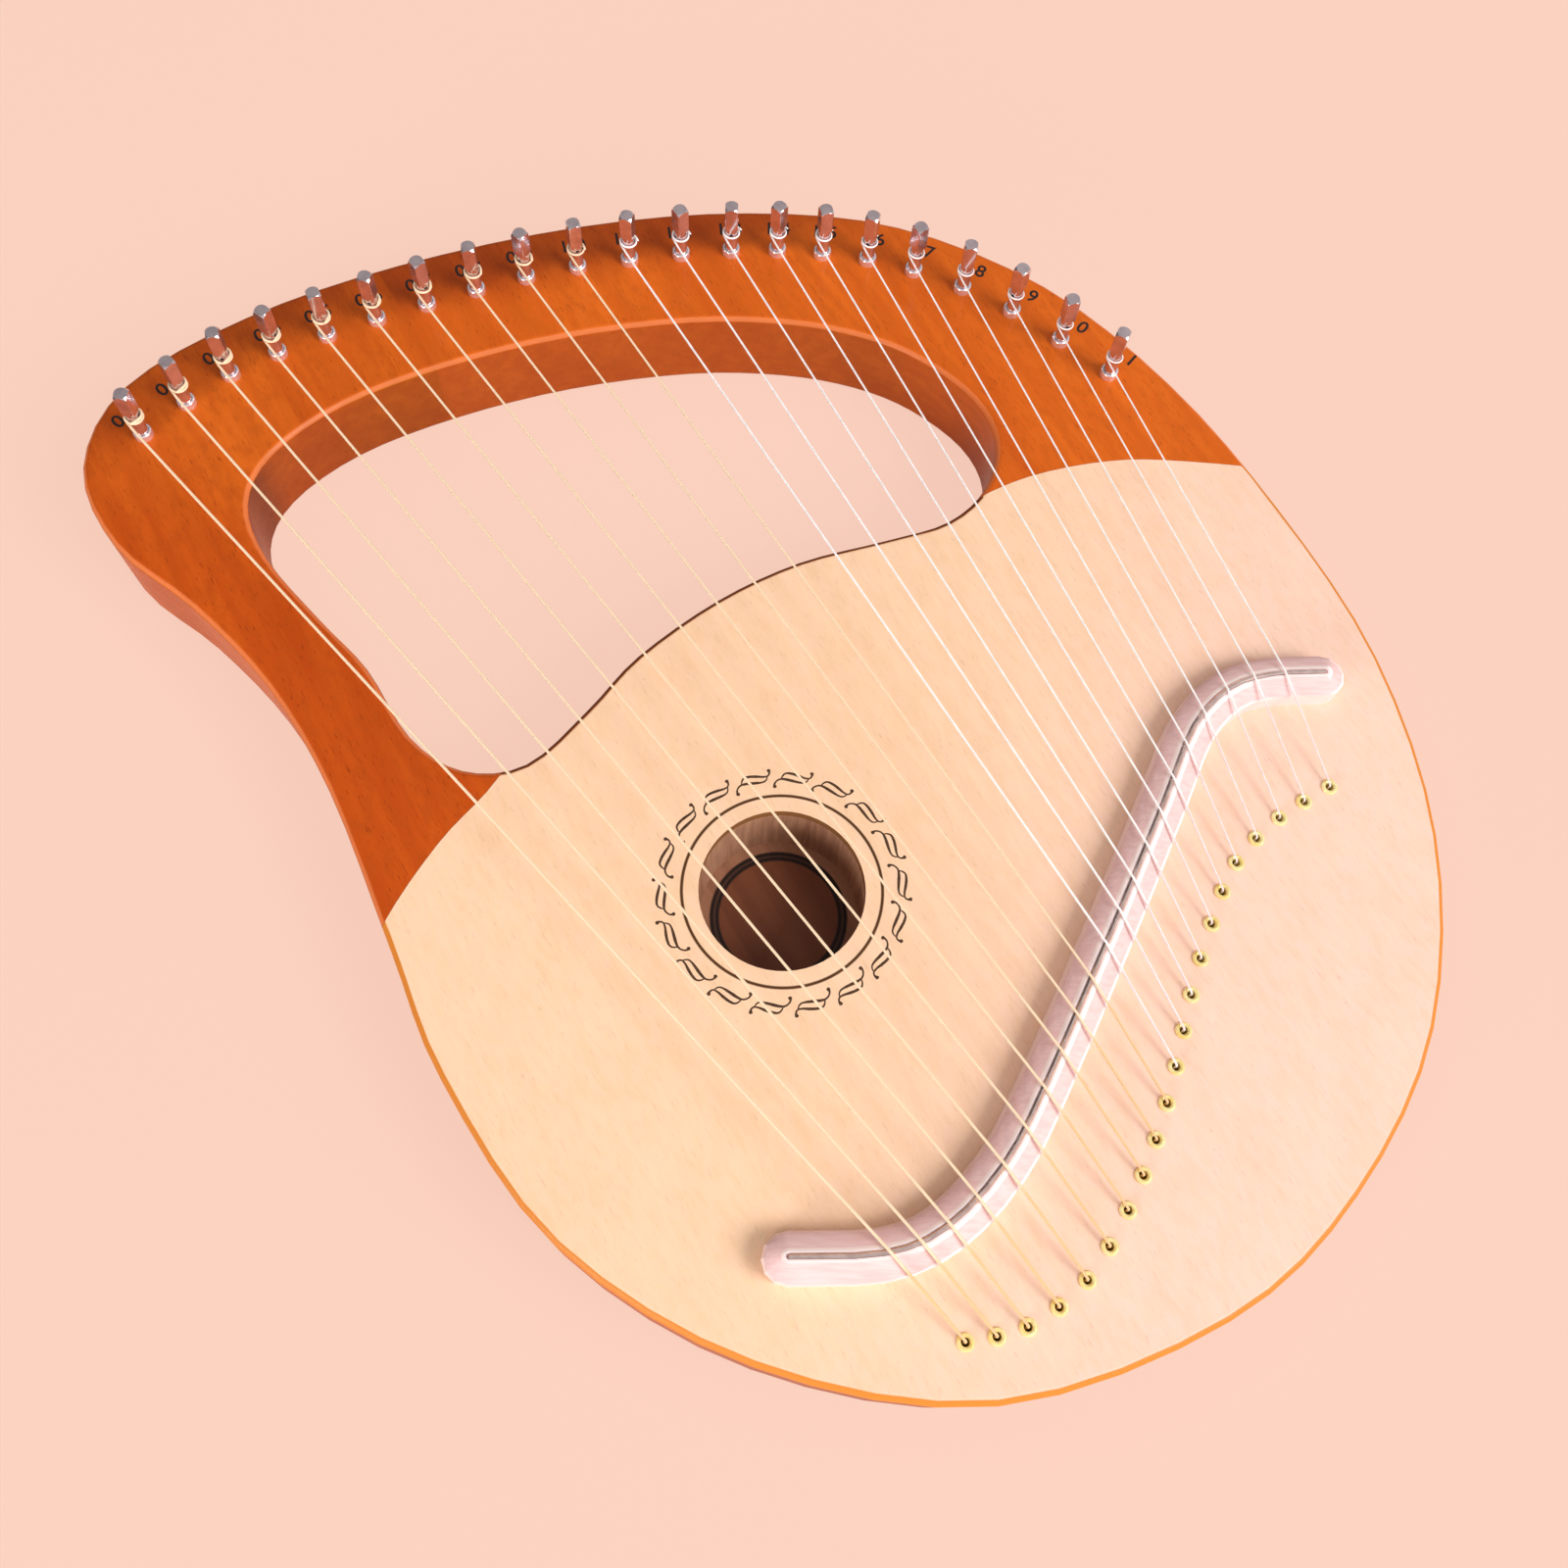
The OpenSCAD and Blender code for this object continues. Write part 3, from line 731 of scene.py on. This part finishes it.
def merged_copy(node: str, flatten: bool = True) -> Object:
    """Copy of a CAD node with its loose triangles merged.

    Args:
        node: Name of the CAD node.
        flatten: Whether triangles in one plane become one face.

    Returns:
        The copy, at the origin.
    """
    piece = bpy.data.objects.new(f"{node}_finished", frame["nodes"][node].data.copy())
    bpy.context.scene.collection.objects.link(piece)
    only(piece)
    bpy.ops.object.mode_set(mode="EDIT")
    bpy.ops.mesh.select_all(action="SELECT")
    bpy.ops.mesh.remove_doubles(threshold=MERGE_WITHIN * MM)
    bpy.ops.mesh.customdata_custom_splitnormals_clear()
    if flatten:
        bpy.ops.mesh.dissolve_limited(angle_limit=math.radians(FLAT_WITHIN))
    bpy.ops.object.mode_set(mode="OBJECT")
    return piece


def smooth(piece: Object, angle: float) -> None:
    """Shades a piece smoothly up to an angle in degrees, with its large faces kept flat."""
    only(piece)
    bpy.ops.object.shade_smooth_by_angle(angle=math.radians(angle))
    shape(piece, "WEIGHTED_NORMAL", mode="FACE_AREA", weight=FACE_WEIGHT, keep_sharp=True)


@dataclass
class SoundBox:
    """The stained frame, the soundboard and what is inside them."""

    nodes: tuple[tuple[str, Slot], ...] = (
        ("frame_bass_board", Slot.BASS_BOARD), ("frame_treble_board", Slot.TREBLE_BOARD),
        ("soundboard", Slot.SOUNDBOARD), ("back_plate", Slot.BACK_PLATE), ("well_block", Slot.WELL),
        ("tail_block", Slot.INNER_WOOD), ("cross_brace", Slot.INNER_WOOD))

    def build(self, dresser: Dresser) -> None:
        """Builds and dresses the wooden pieces."""
        for node, slot in self.nodes:
            dresser.copy(node, slot)


@dataclass
class Rosette:
    """The ring of leaf scrolls burnt around the sound hole."""

    leaves: int = 18
    radius: float = 38.85
    first: float = 36.2
    stroke: float = 0.41
    height: float = 0.06
    tube_cuts: int = 1
    knot_cuts: int = 4
    inner: tuple[Triple, ...] = (
        (-5.9, -3.5, 0.6), (-6.0, -3.1, 1.7), (-6.2, -2.1, 0.8), (-5.7, -1.0, 0.7), (-4.5, -0.1, 0.8),
        (-3.0, 0.05, 1.1), (-1.1, -0.15, 1.3), (1.3, -0.5, 1.1), (2.8, -0.62, 0.8), (3.9, -0.42, 0.7),
        (4.6, 0.2, 0.6), (5.1, 1.15, 0.5))
    outer: tuple[Triple, ...] = (
        (6.0, 3.6, 0.6), (6.0, 3.2, 1.7), (6.0, 2.1, 0.8), (5.3, 1.25, 0.7), (4.2, 1.14, 0.8),
        (1.4, 1.85, 1.2), (-1.3, 2.35, 1.1), (-2.9, 2.16, 0.8), (-3.7, 1.3, 0.7), (-4.1, 0.3, 0.5))

    def scroll(self, points: tuple[Triple, ...]) -> Object:
        """Models one stroke of a leaf as a flat tube.

        Args:
            points: Place along and across the leaf and the share of the stroke's width at each.

        Returns:
            The stroke around the origin.
        """
        bpy.ops.object.select_all(action="DESELECT")
        bpy.ops.curve.primitive_bezier_curve_add()
        stroke = bpy.context.object
        line = stroke.data.splines[0]
        line.bezier_points.add(len(points) - len(line.bezier_points))
        for knot, (x, y, width) in zip(line.bezier_points, points):
            knot.co = (x * MM, y * MM, 0)
            knot.handle_left_type = knot.handle_right_type = "AUTO"
            knot.radius = width
        stroke.data.bevel_depth = self.stroke * MM
        stroke.data.bevel_resolution = self.tube_cuts
        stroke.data.resolution_u = self.knot_cuts
        stroke.data.use_fill_caps = True
        bpy.ops.object.convert(target="MESH")
        flatness = self.height / (2 * self.stroke)
        stroke.data.transform(Matrix.Diagonal((1, 1, flatness, 1)))
        return stroke

    def build(self, dresser: Dresser) -> None:
        """Copies a leaf's two strokes round the sound hole and dresses the ring."""
        leaf = joined([self.scroll(self.inner), self.scroll(self.outer)], "leaf")
        centre = hole_centre()
        centre.z = board_top()
        leaves = []
        for k in range(self.leaves):
            turn = -math.radians(self.first + k * 360 / self.leaves)
            out = Matrix.Translation((0, self.radius * MM, 0))
            copy = bpy.data.objects.new(f"leaf_{k}", leaf.data.copy())
            bpy.context.scene.collection.objects.link(copy)
            copy.data.transform(Matrix.Translation(centre) @ Matrix.Rotation(turn, 4, "Z") @ out)
            leaves.append(copy)
        bpy.data.objects.remove(leaf)
        ring = joined(leaves, "rosette_leaves")
        dresser.put_on(ring, dresser.mark)
        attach(ring, BODY)
        log.info("%s has %d leaves", ring.name, self.leaves)


def joined(pieces: list[Object], name: str) -> Object:
    """Joins pieces into one object at the origin.

    Args:
        pieces: Mesh objects with their places in their meshes.
        name: Name of the joined object.

    Returns:
        The joined object.
    """
    only(pieces[0])
    for piece in pieces:
        piece.select_set(True)
    bpy.ops.object.join()
    whole = bpy.context.object
    whole.name = name
    bpy.ops.object.transform_apply(location=True, rotation=True, scale=True)
    return whole


@dataclass
class Bridge:
    """The S-shaped bridge and the steel rod along its crest."""

    crease: float = 18.0

    def build(self, dresser: Dresser) -> None:
        """Builds and dresses the bridge and the rod."""
        dresser.copy("bridge", Slot.BRIDGE, crease=self.crease)
        dresser.copy("saddle_rod", Slot.SADDLE_ROD)


@dataclass
class TuningPins:
    """The tuning pins, their ferrules and the string numbers beside them."""

    pin_edge: float = 0.14
    ferrule_edge: float = 0.15
    number_out: float = 10.9
    number_size: float = 8.0
    number_spacing: float = 1.6
    number_height: float = 0.04
    number_weight: float = 0.1

    def feet(self) -> list[Vector]:
        """Places where the pins' axes meet the wood, from the lowest string, in metres."""
        return [Vector(joint["pos_m"]) for joint in frame["joints"]]

    def build(self, dresser: Dresser) -> None:
        """Builds and dresses the pins, the ferrules and the numbers."""
        for k in range(1, STRINGS + 1):
            dresser.copy(f"tuning_pin_{k:02d}", Slot.TUNING_PIN, self.pin_edge)
        dresser.copy("pin_ferrules", Slot.FERRULE, self.ferrule_edge)
        self.build_numbers(dresser)

    def build_numbers(self, dresser: Dresser) -> None:
        """Models each pin's plain number on the wood between the pin and the outer edge."""
        feet = self.feet()
        numbers = []
        for k, foot in enumerate(feet):
            run = feet[min(k + 1, STRINGS - 1)] - feet[max(k - 1, 0)]
            outward = Vector((-run.y, run.x, 0)).normalized()
            bpy.ops.object.select_all(action="DESELECT")
            bpy.ops.object.text_add()
            number = bpy.context.object
            number.data.body = f"{k + 1:02d}"
            number.data.space_character = self.number_spacing
            number.data.size = self.number_size * MM
            number.data.extrude = self.number_height * MM
            number.data.offset = self.number_weight * MM
            number.data.align_x = number.data.align_y = "CENTER"
            bpy.ops.object.convert(target="MESH")
            turn = Matrix.Rotation(math.atan2(-outward.x, outward.y), 4, "Z")
            place = Matrix.Translation(foot + outward * self.number_out * MM)
            number.data.transform(place @ turn)
            numbers.append(number)
        row = joined(numbers, "string_numbers")
        dresser.put_on(row, dresser.number)
        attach(row, BODY)
        log.info("%s has %d numbers", row.name, STRINGS)


@dataclass
class StringSet:
    """The strings, with the eyelets and ball ends that hold them."""

    wound: int = 10
    eyelet_edge: float = 0.3
    sides_share: float = 0.17
    bass_radius: float = 0.5
    treble_radius: float = 0.3
    long_span: float = 5.0
    span_cuts: int = 16
    rounding: int = 2

    def build(self, dresser: Dresser) -> None:
        """Builds and dresses the strings, the eyelets and the ball ends."""
        for k in range(1, STRINGS + 1):
            slot = Slot.BASS_STRING if k <= self.wound else Slot.TREBLE_STRING
            dresser.stand_for(self.round_string(k), f"string_{k:02d}", slot)
        dresser.copy("eyelets", Slot.EYELET, self.eyelet_edge)
        dresser.copy("ball_ends", Slot.BALL_END)

    def round_string(self, k: int) -> Object:
        """Rounds a six-sided string.

        Args:
            k: Number of the string, from the lowest.

        Returns:
            The rounded string, as thick as the CAD one.
        """
        string = merged_copy(f"string_{k:02d}", flatten=False)
        share = (k - 1) / (STRINGS - 1)
        radius = self.bass_radius + (self.treble_radius - self.bass_radius) * share
        only(string)
        bpy.ops.object.mode_set(mode="EDIT")
        bpy.ops.mesh.select_all(action="SELECT")
        bpy.ops.mesh.tris_convert_to_quads()
        self.cut_spans(string)
        bpy.ops.mesh.select_all(action="SELECT")
        bpy.ops.transform.shrink_fatten(value=radius * self.sides_share * MM)
        bpy.ops.object.mode_set(mode="OBJECT")
        shape(string, "SUBSURF", levels=self.rounding, render_levels=self.rounding)
        only(string)
        bpy.ops.object.shade_smooth()
        return string

    def cut_spans(self, string: Object) -> None:
        """Cuts the string's long straight faces across, so that rounding keeps its bends in place."""
        bpy.ops.mesh.select_mode(type="EDGE")
        bpy.ops.mesh.select_all(action="DESELECT")
        bpy.ops.object.mode_set(mode="OBJECT")
        mesh = string.data
        for edge in mesh.edges:
            start, end = (mesh.vertices[i].co for i in edge.vertices)
            edge.select = (end - start).length > self.long_span * MM
        bpy.ops.object.mode_set(mode="EDIT")
        bpy.ops.mesh.subdivide(number_cuts=self.span_cuts)
        bpy.ops.mesh.select_mode(type="VERT")


@dataclass
class Studio:
    """The plain floor, the soft light and the camera."""

    floor: Colour = (255, 211, 192)
    floor_size: float = 6000
    floor_drop: float = 0.1
    floor_roughness: float = 0.9
    floor_shine: float = 0.1
    camera_place: Triple = (-145.25, -181.03, 525)
    camera_turn: Triple = (21.725, -2.479, -30.647)
    camera_near: float = 10
    lens: float = 36
    floor_glow: float = 0.87
    floor_bounce: Colour = (216, 198, 188)
    key_place: Triple = (1340, -2320, 2094)
    key_power: float = 97
    key_size: float = 1700
    fill_place: Triple = (-1700, -600, 360)
    fill_power: float = 21
    fill_size: float = 700
    sky: Colour = (252, 248, 248)
    sky_dim_from: float = -0.5
    sky_dim: float = 0.1
    sky_bright: float = 0.8

    def build(self) -> None:
        """Builds the floor, the light and the camera."""
        self.lay_floor()
        self.light()
        self.place_camera()

    def lay_floor(self) -> None:
        """Lays a plain pale floor under the harp."""
        bpy.ops.object.select_all(action="DESELECT")
        bpy.ops.mesh.primitive_plane_add(size=self.floor_size * MM, location=(0, 0, -self.floor_drop * MM))
        floor = bpy.context.object
        floor.name = "floor"
        shader = Shader("pale_floor")
        shader.surface.inputs["Base Color"].default_value = linear(self.floor_bounce)
        shader.surface.inputs["Roughness"].default_value = self.floor_roughness
        shader.surface.inputs["Specular IOR Level"].default_value = self.floor_shine
        glow = shader.add("Emission", {"Color": linear(self.floor)})
        ray = shader.add("LightPath").outputs
        seen = ray["Is Camera Ray"]
        for kind in ("Is Glossy Ray", "Is Transmission Ray"):
            seen = shader.maths("MAXIMUM", seen, ray[kind])
        share = shader.maths("MULTIPLY", seen, self.floor_glow)
        both = shader.add("MixShader", {0: share, 1: shader.surface.outputs[0], 2: glow.outputs[0]})
        shader.feed(shader.tree.nodes["Material Output"].inputs["Surface"], both.outputs[0])
        floor.data.materials.append(shader.material)

    def light(self) -> None:
        """Lights the harp with a soft key, a weaker fill and a sky that dims away from the key."""
        self.hang_lamp("soft_key", self.key_place, self.key_power, self.key_size)
        self.hang_lamp("soft_fill", self.fill_place, self.fill_power, self.fill_size)
        world = bpy.data.worlds.new("pale_sky")
        world.use_nodes = True
        tree = world.node_tree
        sky = tree.nodes["Background"]
        sky.inputs["Color"].default_value = linear(self.sky)
        heading = tree.nodes.new("ShaderNodeVectorMath")
        heading.operation = "DOT_PRODUCT"
        heading.inputs[1].default_value = Vector(self.key_place).normalized()
        strength = tree.nodes.new("ShaderNodeMapRange")
        strength.inputs["From Min"].default_value = self.sky_dim_from
        strength.inputs["To Min"].default_value = self.sky_dim
        strength.inputs["To Max"].default_value = self.sky_bright
        tree.links.new(tree.nodes.new("ShaderNodeTexCoord").outputs["Generated"], heading.inputs[0])
        tree.links.new(heading.outputs["Value"], strength.inputs["Value"])
        tree.links.new(strength.outputs[0], sky.inputs["Strength"])
        bpy.context.scene.world = world

    def hang_lamp(self, name: str, place: Triple, power: float, size: float) -> None:
        """Hangs a square lamp that faces the harp.

        Args:
            name: Name of the lamp.
            place: Its place in millimetres.
            power: Its power in watts.
            size: Length of its sides in millimetres.
        """
        bpy.ops.object.light_add(type="AREA", location=Vector(place) * MM)
        lamp = bpy.context.object
        lamp.name = name
        lamp.data.energy = power
        lamp.data.size = size * MM
        lamp.rotation_euler = (-Vector(place)).to_track_quat("-Z", "Y").to_euler()

    def place_camera(self) -> None:
        """Sets the camera where the photograph was taken from."""
        bpy.ops.object.camera_add(location=Vector(self.camera_place) * MM,
                                  rotation=[math.radians(turn) for turn in self.camera_turn])
        camera = bpy.context.object
        camera.data.lens = camera.data.sensor_width = self.lens
        camera.data.clip_start = self.camera_near * MM
        bpy.context.scene.camera = camera
        bpy.context.scene.view_settings.view_transform = "Standard"


def main() -> None:
    """Builds the harp's looks and the studio."""
    logging.basicConfig(level=logging.INFO, format="%(name)s: %(message)s")
    dresser = Dresser()
    for assembly in (SoundBox(), Rosette(), Bridge(), TuningPins(), StringSet()):
        assembly.build(dresser)
    Studio().build()


if __name__ == "__main__":
    main()
